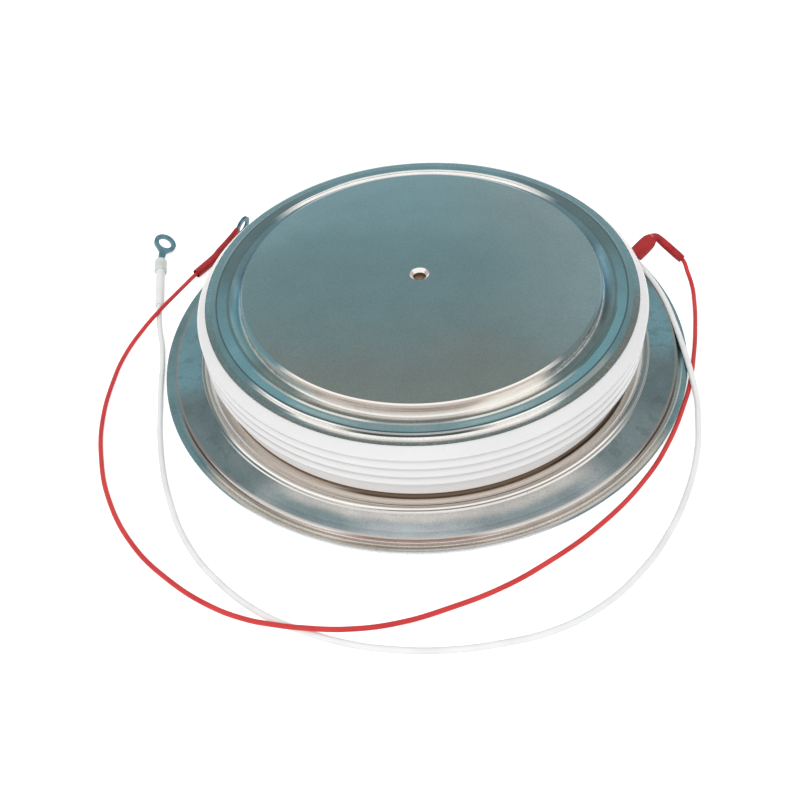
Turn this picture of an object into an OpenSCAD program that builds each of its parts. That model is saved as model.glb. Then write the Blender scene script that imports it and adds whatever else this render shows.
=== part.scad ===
// Capsule thyristor of the press-pack kind: two nickel-plated copper pole pieces
// close a ribbed ceramic ring, and hold the silicon wafer between molybdenum discs.
// The origin is the centre of the lower (cathode) pole face, with +Z up.
// Azimuth 0 is +X and the leads leave at the two azimuths given below.

/* [Housing] */
// Thickness over the two pole faces
overall_h = 26.5; // [25:0.5:32]
// Diameter of each pole face
pole_d = 99; // [90:0.5:110]
// Width of the cold-welded flange outside the ceramic ring
flange_w = 13; // [12:0.5:16]
// Width of the bare rim outside the upper sheet
rim_w = 3.1; // [2.6:0.1:4]
// Height of the lid sheet's rim above the lower pole face
rim_stand = 1.5; // [1.2:0.1:2.2]
// Thickness of the lid sheet
lid_sheet_t = 1.2; // [0.9:0.1:1.4]
// Thickness of the weld sheet under the ceramic
weld_sheet_t = 0.9; // [0.6:0.05:1]
// Width of the flat band where the two sheets are welded
weld_w = 2.2; // [1.6:0.1:3]
// Height of the weld sheet's flat annulus above the rim's top
annulus_rise = 2; // [1.8:0.1:2.3]
// Depth of the undercut below the ceramic
undercut = 0.8; // [0.7:0.1:1.1]
// Thickness of the anode sheet on top of the ceramic
anode_sheet_t = 0.6; // [0.4:0.05:0.8]
// Rise of the anode sheet's bead above its seat on the pole piece
bead_rise = 1.6; // [1.2:0.1:2]
// Rise of the anode sheet's brazed edge above its seat on the pole piece
brazed_rise = 1; // [0.8:0.1:1.2]

/* [Ceramic ring] */
// Wall of the ceramic ring
ceramic_wall = 9.5; // [8.5:0.25:11]
// Width of the bevel at the ring's upper end
bevel_w = 2.6; // [2:0.1:3]
// Height of the bevel at the ring's upper end
bevel_h = 2; // [1.6:0.1:2.4]
// Set-back of the ring's plain foot from its ribs
foot_inset = 2.15; // [1.6:0.05:2.4]
// Number of grooves around the ring
groove_n = 3; // [2:1:3]
// Distance from one groove to the next
groove_pitch = 3.05; // [2.8:0.05:3.2]
// Depth of the grooves between the ribs
groove_depth = 0.5; // [0.3:0.05:0.9]

/* [Pole pieces] */
// Chamfer around each pole face
pole_chamfer = 0.8; // [0.4:0.1:1.2]
// Width of the shoulder that each sheet is brazed to
shoulder_w = 0.9; // [0.6:0.1:1.2]
// Height of the anode pole face above its sheet
anode_proud = 3.6; // [3.2:0.1:5]
// Height of the cathode pole piece from its face to the wafer stack
cathode_pole_h = 11; // [10.5:0.1:12]
// Diameter of the centring hole in each pole face
hole_d = 3.5; // [3:0.1:4]
// Depth of the centring holes
hole_depth = 3; // [2:0.1:3.4]
// Diameter of the countersink at the mouth of each centring hole
sink_d = 5.5; // [4.8:0.1:6.5]

/* [Wafer stack] */
// Distance of the wafer's edge inside the edge of the pole faces
wafer_inset = 0.5; // [0.3:0.1:1.5]
// Thickness of the silicon wafer
wafer_t = 1.2; // [0.8:0.1:1.5]
// Thickness of the molybdenum disc on the anode side
anode_disc_t = 2.5; // [1.5:0.1:3]
// Thickness of the molybdenum disc on the cathode side
cathode_disc_t = 2; // [1:0.1:2.5]
// Distance of the cathode side's molybdenum disc inside the wafer's edge
cathode_disc_inset = 3; // [2.5:0.1:5]
// Width of the silicone seal outside the wafer's edge
seal_w = 1.1; // [0.8:0.1:1.3]
// Grip of the silicone seal under the wafer's edge
seal_grip = 1.5; // [1:0.1:2]
// Wall of the plastic ring that centres the wafer in the ceramic ring
ring_wall = 2.35; // [2.2:0.05:3.5]

/* [Gate] */
// Azimuth of the gate tube
gate_az = 38; // [34:1:60]
// Width and depth of the gate lead's slot in the cathode pole piece
gate_slot = 2.4; // [2.2:0.1:2.8]
// Diameter of the gate contact's insulating cup
cup_d = 8.4; // [8:0.1:9.5]
// Depth of the cup's pocket in the cathode pole piece
cup_h = 7; // [6.6:0.1:7.2]
// Wall of the insulating cup
cup_wall = 0.9; // [0.6:0.1:1]
// Diameter of the gate contact's tip
gate_tip_d = 2; // [1.6:0.1:2.6]
// Thickness of the gate contact's head
gate_head_t = 1.4; // [1.2:0.1:1.6]
// Wire of the gate spring
spring_wire = 0.6; // [0.4:0.05:0.7]
// Turns of the gate spring
spring_turns = 4; // [3:1:5]
// Diameter of the gate wire inside the housing
gate_wire_d = 1; // [0.8:0.1:1.2]
// Diameter of the insulation on the gate wire inside the housing
gate_insulation_d = 2; // [1.8:0.1:2.2]
// Outer diameter of the gate tube
gate_tube_d = 2.4; // [2.2:0.1:2.8]
// Wall of the gate tube
gate_tube_wall = 0.4; // [0.3:0.05:0.5]
// Length of the gate tube outside the ceramic ring
gate_tube_out = 5; // [4.5:0.1:6]
// Diameter of the eyelet that seals the gate tube to the ceramic
eyelet_d = 5.4; // [4.8:0.1:6]
// Thickness of the eyelet
eyelet_t = 0.8; // [0.6:0.1:1]

/* [Auxiliary cathode] */
// Azimuth of the auxiliary cathode's tab
tab_az = 20; // [16:1:24]
// Width of the tab
tab_w = 4.2; // [3.6:0.1:4.8]
// Thickness of the tab
tab_t = 0.8; // [0.6:0.1:1]
// Length of the tab past its bend
tab_l = 7.5; // [6.5:0.1:9]
// Angle at which the tab stands off the flange
tab_rise = 40; // [36:1:44]
// Diameter of the auxiliary lead's bare strand, soldered along the tab
strand_d = 0.8; // [0.6:0.05:0.9]

/* [Leads] */
// Diameter of the gate lead
gate_lead_d = 1.6; // [1.4:0.05:1.8]
// Diameter of the auxiliary cathode lead
cathode_lead_d = 1.25; // [1:0.05:1.4]
// Outer diameter of the ring terminals
ring_d = 7.2; // [6.6:0.1:8]
// Screw hole of the ring terminals
ring_hole_d = 4.2; // [3.4:0.1:4.4]
// Sheet thickness of the ring terminals
ring_t = 0.8; // [0.6:0.1:1]
// Width of the ring terminals' tongue
tongue_w = 2.2; // [1.8:0.1:2.4]
// Diameter of the ring terminals' crimp barrel
barrel_d = 2.4; // [2.3:0.1:2.6]
// Length of the ring terminals' crimp barrel
barrel_l = 5.5; // [4.5:0.1:6]
// Wall of the shrink sleeves
sleeve_wall = 0.25; // [0.2:0.05:0.35]

/* [Hidden] */

$fn = 96;
// Narrow play between pieces that are slid together
play = 0.05;
// Overlap of cutting tools past the faces they cut
cut = 0.5;

// Radii from the pole pieces out: the wafer, the ring that centres it, the ceramic, the flange
pole_r = pole_d / 2;
shoulder_r = pole_r + shoulder_w;
wafer_r = pole_r - wafer_inset;
ring_inner_r = wafer_r + seal_w;
bore_r = ring_inner_r + ring_wall + play;
ceramic_r = bore_r + ceramic_wall;
end_r = ceramic_r - bevel_w;
foot_r = ceramic_r - foot_inset;
flange_r = ceramic_r + flange_w;
weld_r = flange_r - rim_w;
hole_r = hole_d / 2;

// Heights of the housing, from the lower pole face up
rim_z = rim_stand + lid_sheet_t;
annulus_z = rim_z + annulus_rise;
ceramic_z = annulus_z + undercut;
anode_seat_z = overall_h - anode_proud;
ceramic_top_z = anode_seat_z + brazed_rise - anode_sheet_t;
lid_seat_z = rim_z + 0.9;

// Forming of the sheets: bend radius, and radial places of their steps
bend_r = 0.75;
weld_bead_r = ceramic_r + 0.3;
weld_edge_top_z = rim_z + weld_sheet_t;
weld_mid_z = weld_edge_top_z - weld_sheet_t / 2;
weld_flat_r = weld_r - weld_w;
lid_step_r = shoulder_r + 4.5;

// Grooves of the ceramic ring, from the top one down
first_groove_z = ceramic_top_z - bevel_h - groove_pitch / 2;

// Radius of the cathode side's disc, and heights of the wafer stack
cathode_disc_r = wafer_r - cathode_disc_inset;
cathode_disc_z = cathode_pole_h;
wafer_z = cathode_disc_z + cathode_disc_t;
anode_disc_z = wafer_z + wafer_t;
anode_pole_z = anode_disc_z + anode_disc_t;
// Contact faces of the pole pieces are a little smaller than their discs
contact_inset = 0.5;
contact_step = 1.4;

// Silicone seal and plastic ring around the discs
seal_lap = 0.6;
ring_lap = 1.1;

// Gate parts
gate_z = cathode_pole_h - gate_slot / 2;
cup_z = cathode_pole_h - cup_h;
cup_floor = 1;
spring_r = cup_d / 2 - cup_wall - spring_wire / 2 - 0.25;
head_r = spring_r + spring_wire / 2;
head_z = gate_z - gate_head_t / 2;
spot_depth = 0.3;
gate_seat_r = foot_r - spot_depth;
gate_tube_end_r = ceramic_r + gate_tube_out;
gate_tube_start_r = bore_r - 0.4;

// Auxiliary cathode tab: its foot lies on the weld sheet's cone, and it bends up where the
// cone meets the flat band
tab_bend_r = weld_flat_r;
tab_foot_r = ceramic_r + 3;
solder = 0.02;
// Places along the tab's line, from the bend: the shrink sleeve's mouth, the strand's end,
// and where the sleeve stops being flat
tab_grip = 3.2;
strand_start = 4;
flat_end = 9.2;
// Corner where the lead turns down, and its straight stretch from there to the sleeve's end
corner = [74.2, 27.4, 11];
drop_end = [81.7, 21.25, 5.7];
strand_l = 2.4;
root_bore_d = 2.15;

// Ends of the leads: where each end piece starts, with its heading and its pitch
gate_end = [-80.7, 26.2, 1.6];
gate_end_heading = 95;
gate_end_pitch = 1.8;
gate_end_roll = 32;
gate_sleeve_l = 16.6;
gate_cover_l = 5.5;
gate_cover_d = 4;
gate_sleeve_d = 2.8;
gate_tongue_l = 8.5;
cathode_end = [-70.6, 40.2, 1.7];
cathode_end_heading = 50;
cathode_end_pitch = 2.6;
cathode_end_roll = 107;
cathode_barrel_end = 9.8;
cathode_tongue_l = 16.2;
cathode_ring_gap = 3.2;
// Bends of the terminals' tongues: up, and for the gate's also to the side
gate_tongue_tilt = 12;
gate_tongue_turn = -6;
cathode_tongue_tilt = -8;
// Length over which a terminal's tongue is one with its crimp barrel
tongue_lap = 0.6;
tongue_root = (barrel_d - ring_t) / 2 - 0.25;
tongue_root_w = 1.4;
barrel_wall = 0.35;

// Routes of the two leads, from the housing to the crimp barrels
gate_route = [
    [52.8, 41.25, 9.8], [55.15, 43.1, 9.8], [57.5, 43.65, 9.6], [60.2, 42.2, 9],
    [62.5, 39, 7.9], [64.7, 35.1, 6.2], [66.7, 30.4, 4.6], [68.6, 25, 3.7],
    [70.8, 17.6, 3.55], [72.4, 7.5, 3.55], [72.65, -4, 3.55], [72.4, -12.8, 3.55],
    [72.1, -19.4, 3.5], [72, -24.3, 2.75], [71.9, -28.5, 1.6], [71.55, -32.4, 1],
    [70.25, -38, 0.85], [66.8, -49.5, 0.85], [59.4, -64.6, 0.85], [52.3, -74.8, 0.85],
    [44.85, -83, 0.85], [33.6, -91.7, 0.85], [21, -97.1, 0.85], [9, -99.05, 0.85],
    [-2, -99.5, 0.85], [-13, -98.5, 0.85], [-24, -96, 0.85], [-35.1, -91.5, 0.85],
    [-45.1, -85.7, 0.85], [-55, -76.6, 0.85], [-63, -65.7, 0.85], [-69.3, -51, 0.85],
    [-73.6, -33.5, 0.85], [-75.9, -14.5, 0.85], [-77.7, 6.5, 0.85], [-79.9, 18, 1.1],
    [-80.7, 26.2, 1.6], [-82.41, 45.7, 2.22]];
cathode_route = [
    [75.83, 26.06, 9.85], [78.95, 23.5, 7.64], [81.7, 21.25, 5.7], [82.6, 18.2, 3.5],
    [83, 13.7, 1.8], [82.1, 7.5, 0.95], [79.1, -4.3, 0.65], [76.1, -13.7, 0.65],
    [71.35, -26.2, 0.65], [68.5, -32, 0.65], [60.55, -45.6, 0.65], [52.05, -56.5, 0.65],
    [38.2, -69.2, 0.65], [22.1, -79.6, 0.65], [11, -85, 0.65], [-1, -88.9, 0.65],
    [-12.5, -91.6, 0.75], [-24, -92.7, 1.7], [-35, -91.8, 2.6], [-41.2, -90.4, 2.6],
    [-47.5, -88.1, 1.9], [-57, -82.7, 0.8], [-67.5, -74.4, 0.65], [-77, -63.9, 0.65],
    [-85.4, -48.6, 0.65], [-89.8, -33.5, 0.65], [-91.5, -20, 0.65], [-90.8, -5, 0.65],
    [-88.7, 5.8, 0.9], [-84.2, 16.1, 1.7], [-79.35, 23, 3.1], [-76.3, 28.2, 3.1],
    [-73.6, 34.2, 2.3], [-70.6, 40.2, 1.7], [-66.4, 45.2, 2]];
lead_sides = 8;
// Rings for each point of a route
ring_steps = 2;

function polar(p) = [p[0] * cos(p[1]), p[0] * sin(p[1]), p[2]];
function unit(v) = v / norm(v);
function left(v) = [-v[1], v[0]];
function reversed(list) = [for (i = [len(list) - 1:-1:0]) list[i]];

// Direction of leg i of a path, and the mitred sideways direction at its point i
function leg(path, i) = unit(path[i + 1] - path[i]);
function sideways(path, i) =
    let (a = left(leg(path, max(i - 1, 0))), b = left(leg(path, min(i, len(path) - 2))))
    unit(a + b) / (unit(a + b) * b);
function shifted(path, d) = [for (i = [0:len(path) - 1]) path[i] + sideways(path, i) * d];

// A corner a-b-c turned into an arc of radius r
function arc_corner(a, b, c, r) =
    let (
        u = unit(b - a),
        v = unit(c - b),
        turn = atan2(cross(u, v), u * v),
        out = left(u) * sign(turn) * r,
        centre = b - u * r * tan(abs(turn) / 2) + out,
        steps = max(2, ceil(abs(turn) / 12)))
    [for (k = [0:steps]) let (t = turn * k / steps)
        centre - [out[0] * cos(t) - out[1] * sin(t), out[0] * sin(t) + out[1] * cos(t)]];
function bent(path, r) = concat(
    [path[0]],
    [for (i = [1:len(path) - 2]) each arc_corner(path[i - 1], path[i], path[i + 1], r)],
    [path[len(path) - 1]]);

// Half circle that closes the end of a sheet, from its upper to its lower surface
function round_end(tip, dir, r) = [for (k = [1:7])
    let (t = 90 - 180 * k / 8) tip + r * (dir * cos(t) + left(dir) * sin(t))];

// A sheet formed along a path in the r-z plane and spun around the axis
module formed_sheet(path, t, rolled = false) {
    mid = bent(path, bend_r);
    last = len(mid) - 1;
    lip = rolled ? round_end(mid[last], leg(mid, last - 1), t / 2) : [];
    rotate_extrude()
        polygon(concat(shifted(mid, t / 2), lip, reversed(shifted(mid, -t / 2))));
}

// Centring hole with its countersink, cut into a pole face that looks up
module centring_hole() {
    translate([0, 0, -hole_depth])
        cylinder(h = hole_depth + cut, r = hole_r);
    sink_h = (sink_d - hole_d) / 2;
    translate([0, 0, -sink_h])
        cylinder(h = sink_h + cut, r1 = hole_r, r2 = sink_d / 2 + cut);
}

// Pole piece, from its face at z = 0 down into the housing
module pole_blank(h, proud, contact_r) {
    rotate_extrude()
        polygon([
            [0, 0], [pole_r - pole_chamfer, 0], [pole_r, -pole_chamfer], [pole_r, -proud],
            [shoulder_r, -proud], [shoulder_r, contact_step - h - 0.5],
            [contact_r + 0.5, contact_step - h - 0.5], [contact_r, contact_step - h],
            [contact_r, -h], [0, -h]]);
}

module anode_pole_piece() {
    color([0.55, 0.62, 0.62])
    translate([0, 0, overall_h])
        difference() {
            pole_blank(overall_h - anode_pole_z, anode_proud + anode_sheet_t,
                wafer_r - contact_inset);
            centring_hole();
        }
}

module anode_sheet() {
    top = anode_seat_z - anode_sheet_t / 2;
    path = [
        [pole_r, top], [shoulder_r, top], [bore_r + 0.4, top + bead_rise],
        [end_r - 3, top + bead_rise], [end_r - 1.9, top + brazed_rise],
        [end_r, top + brazed_rise]];
    color([0.48, 0.66, 0.7])
        formed_sheet(path, anode_sheet_t);
}

// Outline of the ceramic's outer wall: its foot, the waves of its ribs, and the upper bevel
function rib_wall() =
    let (crest = first_groove_z - (groove_n - 0.5) * groove_pitch, steps = 6, foot_edge = 0.35)
    concat(
        [[foot_r - foot_edge, ceramic_z], [foot_r, ceramic_z + foot_edge],
            [foot_r, crest - 0.3 - foot_inset], [ceramic_r - 0.2, crest - 0.5]],
        [for (k = [0:steps * groove_n])
            [ceramic_r - groove_depth * (1 - cos(360 * k / steps)) / 2,
                crest + k / steps * groove_pitch]],
        [[ceramic_r - 0.4, ceramic_top_z - bevel_h + 0.45], [end_r, ceramic_top_z]]);

module ceramic_ring() {
    rim = 0.5;
    outline = concat(
        rib_wall(),
        [[bore_r + rim, ceramic_top_z], [bore_r, ceramic_top_z - rim],
            [bore_r, ceramic_z + rim], [bore_r + rim, ceramic_z]]);
    color([0.95, 0.95, 0.94])
    difference() {
        rotate_extrude()
            polygon(outline);
        rotate([0, 0, gate_az])
        translate([bore_r - 2, 0, gate_z])
        rotate([0, 90, 0])
            cylinder(h = bevel_w * 8, r = gate_tube_d / 2);
        rotate([0, 0, gate_az])
        translate([gate_seat_r, 0, gate_z])
        rotate([0, 90, 0])
            cylinder(h = 4, r = eyelet_d / 2 + play);
    }
}

module weld_sheet() {
    under = ceramic_z - weld_sheet_t / 2;
    flat = annulus_z - weld_sheet_t / 2;
    path = [
        [bore_r + 0.4, under], [end_r - 2.6, under], [end_r - 1.6, flat],
        [ceramic_r - 0.1, flat], [weld_bead_r + 0.1, flat - 0.1],
        [weld_bead_r + 0.6, flat + 0.1], [weld_bead_r + 1.2, flat + 0.1],
        [weld_bead_r + 2, flat - 0.4],
        [weld_flat_r, weld_mid_z], [weld_r, weld_mid_z]];
    color([0.58, 0.68, 0.68])
        formed_sheet(path, weld_sheet_t);
}

module lid_sheet() {
    mid = rim_z - lid_sheet_t / 2;
    seat = lid_seat_z - lid_sheet_t / 2;
    lip = flange_r - lid_sheet_t / 2;
    path = [
        [pole_r, seat], [lid_step_r, seat], [lid_step_r + 2, mid], [weld_r + 0.2, mid],
        [weld_r + 0.8, mid - 0.2], [lip - 1, mid - 0.2], [lip - 0.3, mid], [lip, mid]];
    color([0.52, 0.6, 0.6])
        formed_sheet(path, lid_sheet_t, rolled = true);
}

module cathode_pole_piece() {
    color([0.55, 0.6, 0.6])
    difference() {
        mirror([0, 0, 1])
            difference() {
                pole_blank(cathode_pole_h, lid_seat_z, cathode_disc_r - contact_inset);
                centring_hole();
            }
        translate([0, 0, cup_z])
            cylinder(h = cup_h + cut, r = cup_d / 2 + play);
        rotate([0, 0, gate_az])
        translate([0, -gate_slot / 2, cathode_pole_h - gate_slot])
            cube([shoulder_r + cut, gate_slot, gate_slot + cut]);
    }
}

module disc(r, t, bevel) {
    rotate_extrude()
        polygon([[0, 0], [r - bevel, 0], [r, bevel], [r, t - bevel], [r - bevel, t], [0, t]]);
}

module silicon_wafer() {
    color([0.3, 0.32, 0.36])
    translate([0, 0, wafer_z])
        disc(wafer_r, wafer_t, wafer_t / 4);
}

module anode_molybdenum_disc() {
    color([0.5, 0.5, 0.52])
    translate([0, 0, anode_disc_z])
        disc(wafer_r, anode_disc_t, 0.2);
}

module cathode_molybdenum_disc() {
    color([0.5, 0.5, 0.52])
    translate([0, 0, cathode_disc_z])
        difference() {
            disc(cathode_disc_r, cathode_disc_t, 0.2);
            translate([0, 0, -cut])
                cylinder(h = cathode_disc_t + 2 * cut, r = head_r);
        }
}

module wafer_edge_seal() {
    inner = wafer_r - seal_grip;
    edge = wafer_t / 4;
    color([0.75, 0.35, 0.25])
        rotate_extrude()
            polygon([
                [inner, wafer_z - seal_lap], [ring_inner_r, wafer_z - seal_lap],
                [ring_inner_r, anode_disc_z + seal_lap], [wafer_r, anode_disc_z + seal_lap],
                [wafer_r, anode_disc_z + 0.2], [wafer_r, wafer_z + edge],
                [wafer_r - edge, wafer_z], [inner, wafer_z]]);
}

module locating_ring() {
    low = wafer_z - seal_lap - ring_lap;
    high = anode_disc_z + seal_lap + ring_lap;
    color([0.92, 0.92, 0.88])
        rotate_extrude()
            polygon([
                [ring_inner_r, low], [bore_r - play, low],
                [bore_r - play, high], [ring_inner_r, high]]);
}

module gate_cup() {
    color([0.93, 0.92, 0.88])
    difference() {
        translate([0, 0, cup_z])
            difference() {
                cylinder(h = cup_h, r = cup_d / 2);
                translate([0, 0, cup_floor])
                    cylinder(h = cup_h, r = cup_d / 2 - cup_wall);
            }
        rotate([0, 0, gate_az])
        translate([0, -gate_slot / 2, cathode_pole_h - gate_slot])
            cube([cup_d, gate_slot, gate_slot + cut]);
    }
}

// Points of the spring's centre line, with its first and last turns closed up
function spring_path() =
    let (low = cup_z + cup_floor + spring_wire / 2, high = head_z - spring_wire / 2, steps = 12,
        turns = spring_turns + 2, pitch = (high - low - 2 * spring_wire) / (turns - 2))
    [for (k = [0:turns * steps]) let (n = k / steps,
            z = low + spring_wire * min(n, 1) + pitch * max(0, min(n - 1, turns - 2))
                + spring_wire * max(0, n - turns + 1))
        [spring_r * cos(360 * n), spring_r * sin(360 * n), z]];

module gate_spring() {
    color([0.7, 0.68, 0.6])
        tube_along(spring_path(), spring_wire / 2 * 0.98, 6);
}

module gate_contact() {
    color([0.85, 0.84, 0.8])
        rotate_extrude()
            polygon([
                [0, head_z], [head_r, head_z], [head_r, head_z + gate_head_t],
                [gate_tip_d / 2, head_z + gate_head_t], [gate_tip_d / 2, wafer_z - 0.4],
                [gate_tip_d / 2 - 0.4, wafer_z], [0, wafer_z]]);
}

// Bar or tube that lies along the gate's azimuth, from one radius to another
module along_gate(from_r, to_r, r) {
    rotate([0, 0, gate_az])
    translate([from_r, 0, gate_z])
    rotate([0, 90, 0])
        cylinder(h = to_r - from_r, r = r);
}

module gate_wire() {
    color([0.85, 0.85, 0.86])
        difference() {
            along_gate(0, gate_tube_end_r - 2 * play, gate_wire_d / 2);
            translate([0, 0, cup_z])
                cylinder(h = cup_h, r = head_r);
        }
}

module gate_insulation() {
    start_r = cup_d / 2 + 0.3;
    color([0.96, 0.95, 0.9])
        difference() {
            along_gate(start_r, gate_tube_start_r, gate_insulation_d / 2);
            along_gate(start_r - cut, gate_tube_start_r + cut, gate_wire_d / 2);
        }
}

module gate_tube() {
    color([0.7, 0.69, 0.66])
        difference() {
            along_gate(gate_tube_start_r, gate_tube_end_r, gate_tube_d / 2);
            along_gate(gate_tube_start_r - cut, gate_tube_end_r + cut,
                gate_tube_d / 2 - gate_tube_wall);
        }
}

module gate_eyelet() {
    color([0.66, 0.66, 0.63])
        difference() {
            along_gate(gate_seat_r, gate_seat_r + eyelet_t, eyelet_d / 2);
            along_gate(gate_seat_r - cut, gate_seat_r + eyelet_t + cut, gate_tube_d / 2);
        }
}

// Smooth curve through a list of points, with extra points between them
function between(p, i, t) =
    let (a = p[max(i - 1, 0)], b = p[i], c = p[i + 1], d = p[min(i + 2, len(p) - 1)])
    0.5 * (2 * b + (c - a) * t + (2 * a - 5 * b + 4 * c - d) * t * t
        + (3 * b - a - 3 * c + d) * t * t * t);
function smooth(p, steps) = concat(
    [for (i = [0:len(p) - 2], k = [0:steps - 1]) between(p, i, k / steps)],
    [p[len(p) - 1]]);

// Direction of a curve in space at its point i, and two axes across it
function along(path, i) = unit(path[min(i + 1, len(path) - 1)] - path[max(i - 1, 0)]);
function across(dir) = unit(cross(dir, [0, 0, 1]));

// Ring of points around a curve's point, rounder or flatter as its power says
function oval(centre, dir, wide, w, h, power, sides) =
    let (x = unit(wide - dir * (wide * dir)), y = cross(dir, x))
    [for (k = [0:sides - 1]) let (c = cos(360 * (k + 0.5) / sides), s = sin(360 * (k + 0.5) / sides))
        centre + x * w / 2 * sign(c) * pow(abs(c), power) + y * h / 2 * sign(s) * pow(abs(s), power)];

// Solid between rings of points, closed at both ends
module skin(rings) {
    n = len(rings[0]);
    last = len(rings) - 1;
    walls = [for (i = [0:last - 1], k = [0:n - 1]) let (m = (k + 1) % n)
        [i * n + k, (i + 1) * n + k, (i + 1) * n + m, i * n + m]];
    polyhedron(
        points = [for (ring = rings) each ring],
        faces = concat(walls, [[for (k = [0:n - 1]) k]], [[for (k = [n - 1:-1:0]) last * n + k]]),
        convexity = 6);
}

// Pipe between outer rings and inner ones, open at both ends
module hose(outer, inner) {
    n = len(outer[0]);
    rings = concat(outer, reversed(inner));
    count = len(rings);
    polyhedron(
        points = [for (ring = rings) each ring],
        faces = [for (i = [0:count - 1], k = [0:n - 1]) let (j = (i + 1) % count, m = (k + 1) % n)
            [i * n + k, j * n + k, j * n + m, i * n + m]],
        convexity = 6);
}

module tube_along(path, r, sides) {
    skin([for (i = [0:len(path) - 1])
        oval(path[i], along(path, i), across(along(path, i)), 2 * r, 2 * r, 1, sides)]);
}

module gate_lead() {
    color([0.93, 0.93, 0.92])
        tube_along(smooth(gate_route, ring_steps), gate_lead_d / 2, lead_sides);
}

module cathode_lead() {
    color([0.85, 0.28, 0.25])
        tube_along(smooth(cathode_route, ring_steps), cathode_lead_d / 2, lead_sides);
}

module gate_lead_root_sleeve() {
    start = gate_seat_r + eyelet_t + 1.5;
    stop = gate_tube_end_r + 2.6;
    color([0.94, 0.94, 0.93])
        difference() {
            along_gate(start, stop, gate_tube_d / 2 + sleeve_wall + play);
            along_gate(start - cut, gate_tube_end_r, gate_tube_d / 2);
            along_gate(gate_tube_end_r - cut, stop + cut, gate_lead_d / 2 + play);
        }
}

// Frame of a lead's end pieces: +X runs on from the lead
module at_end(place, heading, pitch, roll = 0) {
    translate(place)
    rotate([0, 0, heading])
    rotate([0, -pitch, 0])
    rotate([roll, 0, 0])
        children();
}

// Stamped ring terminal: +X runs from the crimp barrel to the ring, whose centre lies
// tongue_l past the barrel's end, and the tongue is bent up by tilt and aside by turn
module ring_terminal(tongue_l, tilt = 0, turn = 0) {
    ring_x = tongue_l + tongue_lap;
    neck_x = ring_x - ring_d / 2 - 0.6;
    flare = 58;
    tongue = [
        [0, tongue_root_w / 2], [0.8, tongue_root_w / 2], [2.6, tongue_w / 2],
        [neck_x, tongue_w / 2], [ring_x - ring_d / 2 * cos(flare), ring_d / 2 * sin(flare)]];
    difference() {
        rotate([0, 90, 0])
            cylinder(h = barrel_l, r = barrel_d / 2);
        translate([-tongue_lap - 0.2, 0, 0])
        rotate([0, 90, 0])
            cylinder(h = barrel_l, r = barrel_d / 2 - barrel_wall);
    }
    translate([barrel_l - tongue_lap, 0, -tongue_root])
    rotate([0, -tilt, turn])
    translate([0, 0, -ring_t / 2])
        difference() {
            union() {
                linear_extrude(ring_t)
                    polygon(concat(tongue, reversed([for (p = tongue) [p[0], -p[1]]])));
                translate([ring_x, 0, 0])
                    cylinder(h = ring_t, r = ring_d / 2);
            }
            translate([ring_x, 0, -cut])
                cylinder(h = ring_t + 2 * cut, r = ring_hole_d / 2);
        }
}

module gate_lead_end_sleeve() {
    color([0.93, 0.93, 0.92])
        at_end(gate_end, gate_end_heading, gate_end_pitch)
        rotate([0, 90, 0])
        rotate_extrude()
            polygon([
                [gate_lead_d / 2 + play, 0], [gate_lead_d / 2 + 2 * sleeve_wall, 0],
                [gate_sleeve_d / 2, 2], [gate_sleeve_d / 2, gate_sleeve_l],
                [gate_lead_d / 2 + play, gate_sleeve_l]]);
}

module gate_crimp_cover() {
    inner = barrel_d / 2 + play;
    mouth = 0.8;
    dome = [for (k = [0:5]) let (t = 15 * k)
        [gate_cover_d / 2 - 0.8 * (1 - cos(t)), gate_cover_l - 0.8 + 0.8 * sin(t)]];
    color([0.9, 0.9, 0.88])
        at_end(gate_end, gate_end_heading, gate_end_pitch)
        translate([gate_sleeve_l, 0, 0])
        rotate([0, 90, 0])
        rotate_extrude()
            polygon(concat(
                [[gate_lead_d / 2 + play, 0], [gate_cover_d / 2 - 0.3, 0], [gate_cover_d / 2, 0.3]],
                dome,
                [[inner, gate_cover_l], [inner, mouth], [gate_lead_d / 2 + play, mouth]]));
}

module gate_ring_terminal() {
    color([0.45, 0.58, 0.6])
        at_end(gate_end, gate_end_heading, gate_end_pitch, gate_end_roll)
        translate([gate_sleeve_l + gate_cover_l - barrel_l + tongue_lap + 0.2, 0, 0])
            ring_terminal(gate_tongue_l - tongue_lap - 0.2, gate_tongue_tilt, gate_tongue_turn);
}

module cathode_ring_terminal() {
    color([0.3, 0.45, 0.5])
        at_end(cathode_end, cathode_end_heading, cathode_end_pitch, cathode_end_roll)
        translate([cathode_barrel_end - barrel_l, 0, 0])
            ring_terminal(cathode_tongue_l, cathode_tongue_tilt);
}

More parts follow.
